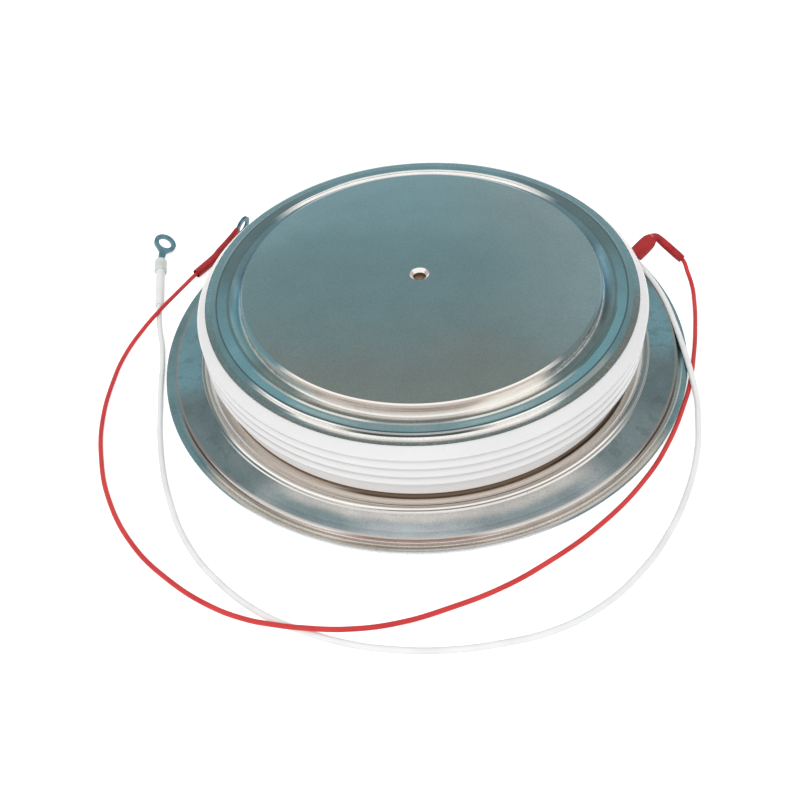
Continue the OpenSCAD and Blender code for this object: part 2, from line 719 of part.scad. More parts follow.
// Shrink sleeve of the auxiliary cathode lead's end: round on the barrel, flat on the tongue
module cathode_lead_end_sleeve() {
    bend_x = cathode_barrel_end - tongue_lap;
    run = [cos(cathode_tongue_tilt), 0, sin(cathode_tongue_tilt)];
    d = barrel_d + 2 * play;
    thin = ring_t + 0.5;
    mouth = cathode_tongue_l + tongue_lap - cathode_ring_gap;
    function on_tongue(l) = [bend_x, 0, -tongue_root] + run * l;
    stations = [
        [[0, 0, 0], d, d, 1], [[cathode_barrel_end, 0, 0], d, d, 1],
        [on_tongue(1.8) + [0, 0, 0.35], d + 0.3, d - 0.3, 0.85],
        [on_tongue(3.6) + [0, 0, 0.1], d + 0.3, d - 0.8, 0.75], [on_tongue(5.5), d + 0.1, thin, 0.7],
        [on_tongue(mouth - 2.5), d + 0.2, thin, 0.7], [on_tongue(mouth), d + 2, thin, 0.7]];
    places = [for (s = stations) s[0]];
    rings = function (grown) [for (i = [0:len(places) - 1]) let (s = stations[i])
        oval(s[0], along(places, i), [0, 1, 0], s[1] + grown, s[2] + grown, s[3], 16)];
    color([0.68, 0.22, 0.22])
        at_end(cathode_end, cathode_end_heading, cathode_end_pitch, cathode_end_roll)
            hose(rings(2 * sleeve_wall), rings(0));
}

module cathode_tab() {
    mid = weld_edge_top_z + solder + tab_t / 2;
    slope = (annulus_z - 0.4 - weld_edge_top_z) / (weld_flat_r - weld_bead_r - 2);
    foot = [tab_foot_r, mid + slope * (weld_flat_r - tab_foot_r)];
    tip = [tab_bend_r, mid] + tab_l * [cos(tab_rise), sin(tab_rise)];
    path = bent([foot, [tab_bend_r, mid], tip], bend_r);
    color([0.5, 0.6, 0.62])
        rotate([0, 0, tab_az])
        translate([0, tab_w / 2, 0])
        rotate([90, 0, 0])
        linear_extrude(tab_w)
            polygon(concat(shifted(path, tab_t / 2), reversed(shifted(path, -tab_t / 2))));
}

// Directions up the tab, across it and square to it, and of the stretch down from the corner
tab_dir = [cos(tab_rise) * cos(tab_az), cos(tab_rise) * sin(tab_az), sin(tab_rise)];
tab_across = [-sin(tab_az), cos(tab_az), 0];
tab_up = cross(tab_dir, tab_across);
drop_dir = unit(drop_end - corner);
function on_tab(s, h) = polar([tab_bend_r, tab_az, weld_edge_top_z + solder + tab_t / 2])
    + tab_dir * s + tab_up * h;
function on_drop(s) = corner + drop_dir * s;

module cathode_strand() {
    h = (tab_t + strand_d) / 2 + solder;
    path = [
        on_tab(strand_start, h), on_tab(tab_l, h), on_tab(flat_end, h),
        corner, on_drop(1), on_drop(strand_l)];
    color([0.8, 0.78, 0.74])
        tube_along(smooth(path, 3), strand_d / 2, lead_sides);
}

// Sideways direction carried along a run of directions without twist
function carried(dirs, wide, i) = i == 0 ? wide :
    let (w = carried(dirs, wide, i - 1), a = dirs[i - 1], b = dirs[i])
    w - (a + b) * ((a + b) * w) / (1 + a * b) + 2 * b * (a * w);

// Rings around the corner from stations of place, width, height and power, all grown alike
function corner_rings(stations, grown) =
    let (
        places = [for (s = stations) s[0]],
        dirs = [for (i = [0:len(places) - 1]) along(places, i)])
    [for (i = [0:len(places) - 1]) let (s = stations[i])
        oval(s[0], dirs[i], carried(dirs, tab_across, i), s[1] + grown, s[2] + grown, s[3], 16)];

// Shrink sleeve on the tab, on the strand and on the lead's first stretch
module cathode_lead_root_sleeve() {
    w = tab_w + 0.5;
    t = tab_t + strand_d + solder + 0.36;
    h = strand_d / 2;
    d = root_bore_d;
    bores = [
        [on_tab(tab_grip, h), w, t, 0.4], [on_tab(flat_end, h), w, t, 0.4],
        [on_tab(flat_end + 0.8, h), w * 0.75, t, 0.6], [corner, d, d * 0.9, 0.9],
        [on_drop(1.5), d, d, 1], [drop_end, d, d, 1]];
    color([0.68, 0.22, 0.22])
        hose(corner_rings(bores, 2 * sleeve_wall), corner_rings(bores, 0));
}

anode_pole_piece();
anode_sheet();
ceramic_ring();
weld_sheet();
lid_sheet();
cathode_pole_piece();
silicon_wafer();
anode_molybdenum_disc();
cathode_molybdenum_disc();
wafer_edge_seal();
locating_ring();
gate_cup();
gate_spring();
gate_contact();
gate_wire();
gate_insulation();
gate_tube();
gate_eyelet();
gate_lead();
gate_lead_root_sleeve();
gate_lead_end_sleeve();
gate_crimp_cover();
gate_ring_terminal();
cathode_tab();
cathode_strand();
cathode_lead();
cathode_lead_root_sleeve();
cathode_lead_end_sleeve();
cathode_ring_terminal();
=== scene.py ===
import math

import bpy
from mathutils import Matrix, Vector


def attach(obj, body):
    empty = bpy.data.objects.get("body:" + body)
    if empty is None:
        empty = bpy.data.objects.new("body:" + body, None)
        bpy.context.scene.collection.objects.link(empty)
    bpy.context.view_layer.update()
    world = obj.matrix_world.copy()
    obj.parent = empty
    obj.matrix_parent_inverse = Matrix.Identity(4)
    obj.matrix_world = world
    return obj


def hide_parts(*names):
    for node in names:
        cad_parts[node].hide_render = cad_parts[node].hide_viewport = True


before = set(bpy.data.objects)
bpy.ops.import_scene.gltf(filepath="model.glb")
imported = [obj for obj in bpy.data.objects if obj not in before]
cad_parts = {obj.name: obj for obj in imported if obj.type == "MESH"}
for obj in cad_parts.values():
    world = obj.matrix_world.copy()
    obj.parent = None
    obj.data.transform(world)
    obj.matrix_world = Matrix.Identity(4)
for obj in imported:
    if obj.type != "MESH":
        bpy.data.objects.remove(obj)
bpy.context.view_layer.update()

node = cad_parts


# Camera
# It looks down on the thyristor from the side where the leads lie in a loop, tipped a little.
# Its angles are in radians. Sizes are in millimetres, as on the drawing, and MM makes them
# metres; only the floor and light are in metres.
MM = 0.001
picture_px = 800
focal_length_px = 927.374
camera_aim = Vector((-8.294, -24.32, 2.67)) * MM
camera_distance = 254.584 * MM
camera_elevation = 0.811
camera_roll = -0.087
bpy.ops.object.camera_add()
camera = bpy.context.object
camera.location = camera_aim + camera_distance * Vector(
    (0, -math.cos(camera_elevation), math.sin(camera_elevation)))
camera.rotation_euler = (
    Matrix.Rotation(math.pi / 2 - camera_elevation, 3, "X")
    @ Matrix.Rotation(camera_roll, 3, "Z")).to_euler()
camera.data.sensor_width = 36
camera.data.lens = camera.data.sensor_width * focal_length_px / picture_px
camera.data.clip_start = 0.01
bpy.context.scene.camera = camera


# Anode pole piece
# A disc turned from copper and nickel plated. Its face is lapped to a fine satin, and the
# chamfer and the wall stay bright from the lathe, with painted reflections on them. A centring
# hole is drilled in the middle.
class Wire:
    """A value inside a finish, which can be used in sums like a number."""

    def __init__(self, finish, socket):
        self.finish = finish
        self.socket = socket

    def maths(self, operation, *values):
        return self.finish.node("ShaderNodeMath", {"operation": operation}, values)

    def __add__(self, other):
        return self.maths("ADD", self, other)

    def __sub__(self, other):
        return self.maths("SUBTRACT", self, other)

    def __rsub__(self, other):
        return self.maths("SUBTRACT", other, self)

    def __mul__(self, other):
        return self.maths("MULTIPLY", self, other)

    def __truediv__(self, other):
        return self.maths("DIVIDE", self, other)

    def __pow__(self, other):
        return self.maths("POWER", self, other)

    __radd__ = __add__
    __rmul__ = __mul__

    def cosine(self):
        return self.maths("COSINE", self)

    def over(self, low, high):
        """0 below low, 1 above high, and a smooth rise between them."""
        return self.finish.node(
            "ShaderNodeMapRange", {"interpolation_type": "SMOOTHSTEP"},
            {"Value": self, "From Min": low, "From Max": high})

    def under(self, low, high):
        """1 below low, 0 above high, and a smooth fall between them."""
        return 1 - self.over(low, high)

    def within(self, low, high, soft):
        """1 from low to high, falling to 0 over the width soft on both sides."""
        return self.over(low - soft, low) * self.under(high, high + soft)


def tone(red, green, blue):
    """A colour as a screen shows it, from 0 to 255."""
    return tuple(((c / 255 + 0.055) / 1.055) ** 2.4 for c in (red, green, blue))


class Finish:
    """A surface finish. Fixed values go to the shader, and changing ones are wired to it."""

    def __init__(self, name, owner=None, **fixed):
        self.material = owner or bpy.data.materials.new(name)
        self.material.use_nodes = True
        made = self.material.node_tree.nodes
        self.shader = made.get("Principled BSDF") or made["Background"]
        for socket, value in fixed.items():
            self.shader.inputs[socket.replace("_", " ")].default_value = value
        self.place = self.node("ShaderNodeTexCoord", {}, {}, "Object")
        self.x, self.y, self.z = (
            self.node("ShaderNodeSeparateXYZ", {}, [self.place], axis) / MM
            for axis in "XYZ")
        self.radius = (self.x * self.x + self.y * self.y) ** 0.5

    def node(self, kind, settings, inputs, output=0):
        """Adds a node with its settings and the values or links of its sockets."""
        made = self.material.node_tree.nodes.new(kind)
        for name, value in settings.items():
            setattr(made, name, value)
        named = inputs.items() if isinstance(inputs, dict) else enumerate(inputs)
        for socket, value in named:
            if isinstance(value, Wire):
                self.material.node_tree.links.new(value.socket, made.inputs[socket])
            else:
                made.inputs[socket].default_value = value
        return Wire(self, made.outputs[output])

    def toward(self, angle, full, none):
        """1 round the axis within full degrees of an angle, falling to 0 at none degrees."""
        heading = math.radians(angle)
        along = (self.x * math.cos(heading) + self.y * math.sin(heading)) / self.radius
        return along.over(math.cos(math.radians(none)), math.cos(math.radians(full)))

    def grain(self, size, detail=3, stretch=(1, 1, 1)):
        """Noise whose patches are about size millimetres across."""
        spot = self.node("ShaderNodeVectorMath", {"operation": "MULTIPLY"},
                         [self.place, [s / (size * MM) for s in stretch]])
        return self.node("ShaderNodeTexNoise", {}, {"Vector": spot, "Scale": 1, "Detail": detail})

    def waver(self, size, spread, detail=3):
        """Noise about zero, for a value that is half of spread more here and less there."""
        return (self.grain(size, detail) - 0.5) * spread

    def specks(self, spacing, size):
        """Small round spots, one at most for each cell of the spacing in millimetres."""
        spot = self.node("ShaderNodeVectorMath", {"operation": "SCALE"},
                         {0: self.place, "Scale": 1 / (spacing * MM)})
        gap = self.node("ShaderNodeTexVoronoi", {}, {"Vector": spot, "Scale": 1}, "Distance")
        return gap.under(size / spacing * 0.5, size / spacing)

    def blend(self, share, first, second):
        """First colour where share is 0 and second where it is 1."""
        first, second = (
            c if isinstance(c, Wire) else (*c, 1) for c in (first, second))
        return self.node(
            "ShaderNodeMix", {"data_type": "RGBA"}, {0: share, 6: first, 7: second}, output=2)

    def painted(self, colour, *coats):
        """A colour with further colours over it, each where its share is 1."""
        for share, coat in coats:
            colour = self.blend(share, colour, coat)
        return colour

    def clouded(self, size, first, second, low=0.35, high=0.65, detail=4):
        """First colour with patches of the second, about size millimetres across."""
        return self.blend(self.grain(size, detail).over(low, high), first, second)

    def mottled(self, colour, fine, cloudy):
        """The colour made uneven by a fine grain and by wider cloudy patches."""
        strength = 1 + self.waver(0.4, fine, 2) + self.waver(8, cloudy, 4)
        return self.node("ShaderNodeVectorMath", {"operation": "SCALE"},
                         {0: colour, "Scale": strength})

    def set(self, **wired):
        """Wires changing values to the shader's sockets."""
        for socket, wire in wired.items():
            self.material.node_tree.links.new(
                wire.socket, self.shader.inputs[socket.replace("_", " ")])

    def relief(self, height, distance):
        """Bumps in the surface, distance millimetres high where height is 1."""
        self.set(Normal=self.node(
            "ShaderNodeBump", {}, {"Height": height, "Distance": distance * MM, "Strength": 1},
            "Normal"))

    def dress(self, piece):
        """Puts the finish on a piece, in place of any that it has."""
        piece.data.materials.clear()
        piece.data.materials.append(self.material)


def eased(corners, steps=5):
    """Outline through corners of radius and height, each with the rounding that follows them."""
    outline = []
    for i, corner in enumerate(corners):
        here = Vector(corner[:2])
        if len(corner) < 3 or i in (0, len(corners) - 1):
            outline.append(here)
            continue
        before = (Vector(corners[i - 1][:2]) - here).normalized()
        after = (Vector(corners[i + 1][:2]) - here).normalized()
        half = before.angle(after) / 2
        centre = here + (before + after).normalized() * corner[2] / math.sin(half)
        start = here + before * corner[2] / math.tan(half) - centre
        stop = here + after * corner[2] / math.tan(half) - centre
        turn = start.angle_signed(stop)
        for k in range(steps + 1):
            outline.append(centre + Matrix.Rotation(-turn * k / steps, 2) @ start)
    return outline


def turned(name, outline, steps=192):
    """Spins an outline round the housing's axis, as a lathe turns it."""
    bpy.ops.object.select_all(action="DESELECT")
    bpy.ops.mesh.primitive_plane_add(size=MM)
    piece = bpy.context.object
    piece.name = name
    bpy.ops.object.mode_set(mode="EDIT")
    bpy.ops.mesh.select_all(action="SELECT")
    bpy.ops.mesh.merge(type="CENTER")
    here = Vector((0, 0))
    for i, point in enumerate(outline):
        step = (Vector(point) - here) * MM
        if i == 0:
            bpy.ops.transform.translate(value=(step.x, 0, step.y))
        else:
            bpy.ops.mesh.extrude_region_move(
                TRANSFORM_OT_translate={"value": (step.x, 0, step.y)})
        here = Vector(point)
    bpy.ops.mesh.select_all(action="SELECT")
    bpy.ops.mesh.spin(steps=steps, angle=2 * math.pi, center=(0, 0, 0), axis=(0, 0, 1))
    bpy.ops.mesh.select_all(action="SELECT")
    bpy.ops.mesh.remove_doubles(threshold=0.001 * MM)
    bpy.ops.mesh.normals_make_consistent(inside=False)
    bpy.ops.object.mode_set(mode="OBJECT")
    bpy.ops.object.shade_smooth_by_angle(angle=math.radians(30))
    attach(piece, "root")
    return piece


pole_r = 49.5
shoulder_r = 50.4
contact_r = 48.5
hole_r = 1.75
sink_r = 2.75
pole_chamfer = 0.8
face_z = 26.5
chamfer_z = face_z - pole_chamfer
sink_z = face_z - (sink_r - hole_r)
hole_floor_z = 23.5
shoulder_z = 22.35
step_z = 18.1
contact_z = 16.7
anode_pole = turned("anode_pole", eased([
    (0, hole_floor_z), (hole_r, hole_floor_z), (hole_r, sink_z, 0.08), (sink_r, face_z, 0.1),
    (pole_r - pole_chamfer, face_z, 0.15), (pole_r, chamfer_z, 0.25),
    (pole_r, shoulder_z + 0.05), (shoulder_r, shoulder_z), (shoulder_r, step_z + 0.5),
    (contact_r + 0.5, step_z + 0.5), (contact_r, step_z), (contact_r, contact_z),
    (0, contact_z)]))
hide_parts("anode_pole_piece")

# The bright metal mirrors its surroundings, and these reflections are painted: the teal tint of
# the nickel is a painted reflection, and so is each coat, which lies toward an angle round the
# axis and over or within some radii or heights.
lapped_face = Finish("lapped_nickel_face")
# The face's teal back, grey front and light back edge are painted reflections.
satin_and_reflections = lapped_face.painted(
    tone(104, 131, 135),
    ((lapped_face.y + lapped_face.waver(30, 20)).over(2, 34), tone(113, 145, 151)),
    ((0 - lapped_face.y + lapped_face.waver(25, 30)).over(0, 48), tone(114, 124, 121)),
    (lapped_face.toward(10, 20, 75) * lapped_face.radius.over(12, 46), tone(120, 142, 145)))
satin_and_reflections = lapped_face.painted(
    lapped_face.mottled(satin_and_reflections, fine=0.5, cloudy=0.15),
    (lapped_face.radius.over(48.1, 48.5) * lapped_face.toward(90, 32, 50), tone(198, 206, 210)),
    (lapped_face.specks(9, 0.16) * 0.6, tone(55, 60, 60)))

# Painted reflections: the chamfer's light front with its brownish lower edge, and the wall's
# light and dark bands round it.
chamfer_front = lapped_face.toward(-95, 36, 48)
upper_chamfer = lapped_face.painted(
    tone(104, 139, 150),
    (lapped_face.toward(90, 15, 55), tone(228, 232, 235)),
    (lapped_face.toward(-40, 8, 20), tone(108, 122, 124)),
    (chamfer_front, tone(250, 243, 236)),
    (chamfer_front * lapped_face.z.under(26.0, 26.15), tone(198, 186, 178)))
low_glow = lapped_face.z.within(23.2, 23.8, 0.7)
side = lapped_face.painted(
    tone(146, 184, 196),
    (lapped_face.toward(90, 60, 80), tone(150, 180, 186)),
    (lapped_face.toward(-150, 8, 22), tone(208, 214, 206)),
    (lapped_face.toward(-90, 92, 100) * (1 - lapped_face.toward(-90, 78, 90))
     * lapped_face.z.under(24.2, 25.2), tone(118, 160, 176)),
    (lapped_face.toward(-15, 8, 16), tone(96, 135, 145)),
    (lapped_face.toward(-38, 12, 24), tone(158, 160, 158)),
    (lapped_face.toward(-46, 4, 12), tone(192, 194, 192)),
    (lapped_face.toward(-40, 10, 18) * low_glow, tone(238, 240, 236)),
    (lapped_face.toward(-98, 32, 48), tone(226, 215, 204)),
    (lapped_face.toward(-137, 5, 13), tone(255, 250, 242)),
    (lapped_face.toward(-66, 4, 14), tone(255, 250, 244)),
    (lapped_face.toward(-112, 5, 16) * 0.7, tone(250, 242, 234)),
    (lapped_face.toward(-102, 30, 44) * low_glow, tone(255, 253, 250)))
# Faint brown streaks on the wall toward the left front.
wall_streaks = lapped_face.grain(3, 4, (1, 1, 0.4)).over(0.52, 0.66)
tool_lines = lapped_face.grain(0.3, 2, (0.02, 0.02, 1))
sparkle = (lapped_face.specks(0.8, 0.34) * lapped_face.grain(1.6, 3).over(0.44, 0.54)
           * lapped_face.toward(-45, 10, 18) * lapped_face.z.under(25.0, 25.5)
           * lapped_face.radius.over(pole_r - 0.2, pole_r - 0.1))
side = lapped_face.painted(
    side,
    (wall_streaks * lapped_face.toward(-125, 15, 35) * 0.12, tone(128, 112, 98)),
    (sparkle, tone(255, 253, 250)),
    (tool_lines.over(0.56, 0.62) * lapped_face.toward(-100, 35, 50) * 0.35, tone(132, 120, 110)),
    (tool_lines.over(0.5, 0.7) * 0.15, tone(215, 210, 205)))
# The countersink's white and the greyer bands at its sides are painted reflections; the bore
# below is darker and browner, and lighter near its floor.
hole_wall = lapped_face.painted(
    tone(252, 248, 245),
    (lapped_face.toward(160, 10, 30) + lapped_face.toward(20, 10, 30), tone(196, 186, 182)),
    (lapped_face.z.under(sink_z - 0.15, sink_z), tone(150, 130, 114)),
    (lapped_face.z.under(hole_floor_z + 0.5, hole_floor_z + 1.1), tone(206, 190, 174)))
on_face = lapped_face.z.over(face_z - 0.1, face_z - 0.03)
on_chamfer = (lapped_face.z.over(chamfer_z - 0.1, chamfer_z + 0.05)
              * lapped_face.radius.over(40, 48))
lapped_face.set(
    Base_Color=lapped_face.painted(
        side, (on_chamfer, upper_chamfer), (lapped_face.radius.under(4, 5), hole_wall),
        (on_face, satin_and_reflections)),
    Metallic=1 - sparkle * 0.8,
    Roughness=0.5 - on_face * 0.08 - on_chamfer * 0.24 + lapped_face.waver(3, 0.08))
upright_marks = lapped_face.grain(0.4, 3, (1, 1, 0.15)) * (1 - on_face)
lapped_face.relief(lapped_face.grain(0.3, 2) * 0.6 + upright_marks * 0.7, 0.008)
lapped_face.dress(anode_pole)


# Cathode pole piece
# The same turned and plated disc on the gate's side. Only its face and its chamfer show,
# under the lid sheet, and the pocket and slot of the gate are closed inside.
lower_face = Finish("lapped_nickel_lower_face", Metallic=1)
# The face's teal tint is a painted reflection; its grey patches vary at random.
lower_satin_and_reflection = lower_face.clouded(30, tone(110, 138, 142), tone(117, 128, 125), detail=3)
lower_satin_and_reflection = lower_face.painted(
    lower_face.mottled(lower_satin_and_reflection, fine=0.5, cloudy=0.15),
    (lower_face.specks(8, 0.16) * 0.7, tone(55, 60, 60)))
lower_turned = lower_face.z.over(0.03, 0.1)
lower_face.set(
    Base_Color=lower_face.blend(lower_turned, lower_satin_and_reflection, tone(196, 190, 182)),
    Roughness=0.42 - lower_turned * 0.18)
lower_face.relief(lower_face.grain(0.3, 2), 0.005)
lower_face.dress(node["cathode_pole_piece"])


# Lid sheet
# Copper sheet pressed to a dish, nickel plated and brazed to the cathode pole piece. Its
# rim stands clear of the heat sink and ends in a rounded lip, with a shallow groove on top.
def formed(name, path, thickness, edge, bend_r=0.75):
    """Spins a sheet's middle line, gives it its thickness, and rounds its edges."""
    piece = turned(name, eased([(r, z, bend_r) for r, z in path], steps=4))
    bpy.ops.object.modifier_add(type="SOLIDIFY")
    wall = piece.modifiers[-1]
    wall.thickness = thickness * MM
    wall.offset = 0
    wall.use_even_offset = True
    bpy.ops.object.modifier_apply(modifier=wall.name)
    bpy.ops.object.modifier_add(type="BEVEL")
    rounding = piece.modifiers[-1]
    rounding.width = edge * MM
    rounding.segments = 3
    rounding.limit_method = "ANGLE"
    rounding.angle_limit = math.radians(60)
    bpy.ops.object.modifier_apply(modifier=rounding.name)
    bpy.ops.object.shade_smooth_by_angle(angle=math.radians(40))
    return piece


rim_z = 2.7
weld_r = 71.9
flange_r = 75
lid_t = 1.2
lid_mid = rim_z - lid_t / 2
lid_seat_mid = 3
lid_step_r = shoulder_r + 4.5
lip_r = flange_r - lid_t / 2
lip_play = 0.003
rim_groove_depth = 0.2
lid = formed("lid", [
    (pole_r, lid_seat_mid), (lid_step_r, lid_seat_mid), (lid_step_r + 2, lid_mid),
    (weld_r + 0.2, lid_mid), (weld_r + 0.8, lid_mid - rim_groove_depth),
    (lip_r - 1, lid_mid - rim_groove_depth), (lip_r - 0.3, lid_mid),
    (flange_r - lip_play, lid_mid)], lid_t, edge=0.5)
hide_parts("lid_sheet")

rim_finish = Finish("plated_rim", Metallic=1)
rim_r = rim_finish.radius
rim_front = rim_finish.toward(-90, 46, 57)
rim_middle = rim_finish.toward(-90, 20, 34)
beside_weld = rim_r.within(weld_r - 0.1, weld_r + 0.4, 0.1)
at_weld = rim_r.within(weld_r - 0.1, weld_r + 0.1, 0.06)
groove_inner = rim_r.within(72.5, 72.8, 0.12)
groove_outer = rim_r.within(73.1, 73.6, 0.15)
lip = rim_r.over(74.6, 74.9)
# The rim's teal tint and its light and dark lines and bands, strongest toward the front, are
# painted reflections.
rim_tone = rim_finish.painted(
    tone(103, 133, 138),
    (rim_finish.grain(10, 4).over(0.45, 0.6) * 0.6, tone(96, 118, 122)),
    (rim_front, tone(184, 179, 170)),
    (rim_finish.toward(-88, 6, 22), tone(160, 154, 145)),
    (beside_weld * rim_finish.toward(-90, 62, 76), tone(82, 78, 74)),
    (beside_weld * rim_finish.toward(-90, 28, 44), tone(176, 165, 158)),
    (beside_weld * rim_finish.toward(-98, 10, 26), tone(236, 222, 216)),
    (at_weld * (rim_finish.toward(-128, 8, 16) + rim_finish.toward(-64, 12, 20)),
     tone(246, 240, 234)),
    (groove_inner * rim_finish.toward(-90, 62, 80), tone(140, 132, 124)),
    (groove_inner * rim_middle, tone(160, 149, 140)),
    (groove_outer * rim_front, tone(206, 202, 192)),
    (groove_outer * rim_middle, tone(228, 220, 210)),
    (rim_r.within(73.75, 74.0, 0.1) * rim_middle, tone(186, 180, 168)),
    (rim_r.within(73.2, 73.45, 0.1) * rim_finish.toward(-32, 10, 20), tone(172, 174, 168)),
    (rim_r.within(74.15, 74.45, 0.1) * rim_finish.toward(-80, 14, 26), tone(196, 196, 192)),
    (lip * (1 - rim_finish.toward(-105, 18, 30)), tone(112, 138, 142)),
    (lip * rim_finish.toward(-100, 25, 35), tone(204, 209, 210)))
rim_finish.set(
    Base_Color=rim_finish.mottled(rim_tone, fine=0.5, cloudy=0.4),
    Roughness=0.28 + rim_finish.waver(2, 0.12, 4))
rim_finish.relief(rim_finish.grain(0.35, 3) + rim_finish.grain(6, 2) * 5, 0.005)
rim_finish.dress(lid)


# Weld sheet
# Copper sheet pressed with a bead, a cone and a flat band, brazed under the ceramic and
# cold welded to the lid along the band. The welding tool left its cut edge as bare copper.
ceramic_r = 62
bore_r = 52.5
end_r = 59.4
weld_bead_r = ceramic_r + 0.3
weld_flat_r = 69.7
weld_t = 0.9
weld_mid = rim_z + weld_t / 2
under_mid = 5.05
flat_mid = 4.25
weld = formed("weld_sheet_pressed", [
    (bore_r + 0.4, under_mid), (end_r - 2.6, under_mid), (end_r - 1.6, flat_mid),
    (ceramic_r - 0.1, flat_mid), (weld_bead_r + 0.1, flat_mid - 0.1),
    (weld_bead_r + 0.6, flat_mid + 0.1), (weld_bead_r + 1.2, flat_mid + 0.1),
    (weld_bead_r + 2, flat_mid - 0.4), (weld_flat_r, weld_mid), (weld_r, weld_mid)],
    weld_t, edge=0.08)
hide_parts("weld_sheet")

weld_finish = Finish("plated_weld_sheet")
cone_front = weld_finish.toward(-92, 28, 42)
outer_cone = (weld_finish.radius + weld_finish.waver(6, 2, 5)).over(65.8, 68.8)
# The cone's teal tint and its light front are painted reflections.
cone_tone = weld_finish.painted(
    tone(104, 140, 148),
    (weld_finish.toward(-90, 72, 82), tone(97, 113, 115)),
    (weld_finish.toward(-90, 52, 62), tone(117, 131, 133)),
    (weld_finish.toward(-140, 8, 30) * weld_finish.radius.over(67, 70) * 0.7,
     tone(110, 126, 128)),
    (cone_front, tone(206, 204, 199)),
    (weld_finish.toward(-97, 8, 18), tone(226, 223, 218)),
    (cone_front * outer_cone, tone(144, 156, 159)),
    (weld_finish.toward(-97, 6, 16) * outer_cone, tone(184, 193, 195)),
    (weld_finish.toward(-118, 4, 14) * outer_cone * 0.7, tone(124, 142, 145)),
    (weld_finish.grain(4, 5).over(0.5, 0.62) * (1 - cone_front) * 0.35, tone(80, 92, 92)))
# The light and dark lines on the ledge between the bead and the cone are painted reflections,
# and lie a little wider at the left front.
ledge_front = weld_finish.toward(-93, 38, 60)
ledge_r = weld_finish.radius - weld_finish.toward(-130, 5, 35) * 0.4
bead_top = ledge_r.within(62.9, 63.35, 0.12)
ledge_tone = weld_finish.painted(
    tone(196, 194, 187),
    (ledge_front, tone(234, 224, 214)),
    (ledge_r.within(62.35, 62.55, 0.12) * weld_finish.toward(-84, 12, 30), tone(168, 159, 152)),
    (bead_top, tone(176, 176, 171)),
    (bead_top * ledge_front, tone(200, 194, 186)),
    (ledge_r.within(63.55, 63.8, 0.08) * weld_finish.toward(-93, 50, 62), tone(255, 252, 249)),
    (ledge_r.within(62.9, 63.8, 0.1) * weld_finish.toward(-14, 18, 34), tone(112, 126, 129)),
    (ledge_r.within(63.5, 64.1, 0.1) * weld_finish.toward(-166, 12, 24), tone(112, 124, 122)),
    (ledge_r.within(63.98, 64.16, 0.06), tone(128, 124, 120)))
band_edge = weld_finish.radius.over(71.2, 71.5)
band_front = weld_finish.toward(-92, 36, 50)
cut_edge = (weld_finish.radius.over(weld_r - 0.06, weld_r - 0.02)
            * weld_finish.z.over(rim_z + 0.1, rim_z + 0.2))
# Painted: a light reflection of the ceramic just outside its foot, brown shade under the foot,
# nearly black toward the right front, a highlight line on the ledge, light and dark bands on the
# flat band, and on the bare copper cut edge, highlights toward the left and right front and grey
# shade at the sides.
weld_tone = weld_finish.painted(
    weld_finish.mottled(cone_tone, fine=0.6, cloudy=0.5),
    (weld_finish.radius.under(64.2, 64.35), ledge_tone),
    (ledge_r.within(64.4, 64.75, 0.06) * ledge_front, tone(255, 252, 249)),
    (weld_finish.radius.under(61.0, 61.4), tone(218, 206, 194)),
    (weld_finish.radius.under(60.5, 60.9) * weld_finish.toward(-75, 32, 44),
     tone(120, 104, 88)),
    (weld_finish.radius.under(60.3, 60.7) * weld_finish.toward(-46, 10, 20), tone(58, 50, 44)),
    (weld_finish.radius.under(59.6, 60.1), tone(150, 126, 106)),
    (band_edge * band_front, tone(200, 195, 191)),
    (band_edge * (1 - band_front) * 0.7, tone(140, 130, 122)),
    (weld_finish.specks(2.6, 0.2) * 0.5, tone(60, 66, 66)),
    (cut_edge, tone(164, 138, 128)),
    (cut_edge * weld_finish.toward(-127, 12, 22), tone(255, 252, 249)),
    (cut_edge * weld_finish.toward(-64, 14, 24), tone(255, 252, 249)),
    (cut_edge * (1 - weld_finish.toward(-90, 58, 72)), tone(98, 97, 95)))
under_ceramic = weld_finish.radius.under(59.9, 60.4)
weld_finish.set(
    Base_Color=weld_tone,
    Metallic=1 - under_ceramic * 0.8 - cut_edge * 0.9,
    Roughness=0.32 + weld_finish.waver(1.5, 0.14, 4) + cut_edge * 0.35
    - weld_finish.radius.within(59.5, 62.5, 0.5) * 0.14)
weld_finish.relief(weld_finish.grain(0.35, 3) + weld_finish.grain(5, 2) * 4, 0.005)
weld_finish.dress(weld)


# Ceramic ring
# Alumina, ground and glazed white. Three grooves lengthen the path along its wall, and both
# ends are bevelled. The hole and the spot face for the gate tube are ground through the wall.
foot_r = 59.85
ceramic_low = 5.5
ceramic_high = 23.3
bore_edge = 0.5
foot_edge = 0.35
foot_rise = 2.45
bevel_h = 1.55
grooves = 3
groove_depth = 0.5
groove_pitch = 3.05
groove_steps = 12
low_crest = 12.15
high_crest = low_crest + groove_pitch * grooves
wall = eased([
    (bore_r, ceramic_high - bore_edge), (bore_r, ceramic_low + bore_edge),
    (bore_r + bore_edge, ceramic_low), (foot_r - foot_edge, ceramic_low, 0.1),
    (foot_r, ceramic_low + foot_edge, 0.2), (foot_r, low_crest - foot_rise, 1.6),
    (ceramic_r - 0.15, low_crest - 0.45, 0.3), (ceramic_r, low_crest)])
# Each groove is one turn of a cosine.
wall += [Vector((ceramic_r - groove_depth * (1 - math.cos(2 * math.pi * k / groove_steps)) / 2,
                 low_crest + groove_pitch * k / groove_steps))
         for k in range(1, grooves * groove_steps + 1)]
wall += eased([
    (ceramic_r, high_crest), (ceramic_r - 0.4, ceramic_high - bevel_h, 0.8),
    (end_r, ceramic_high, 0.15), (bore_r + bore_edge, ceramic_high),
    (bore_r, ceramic_high - bore_edge)])[1:]
ceramic = turned("ceramic", wall)

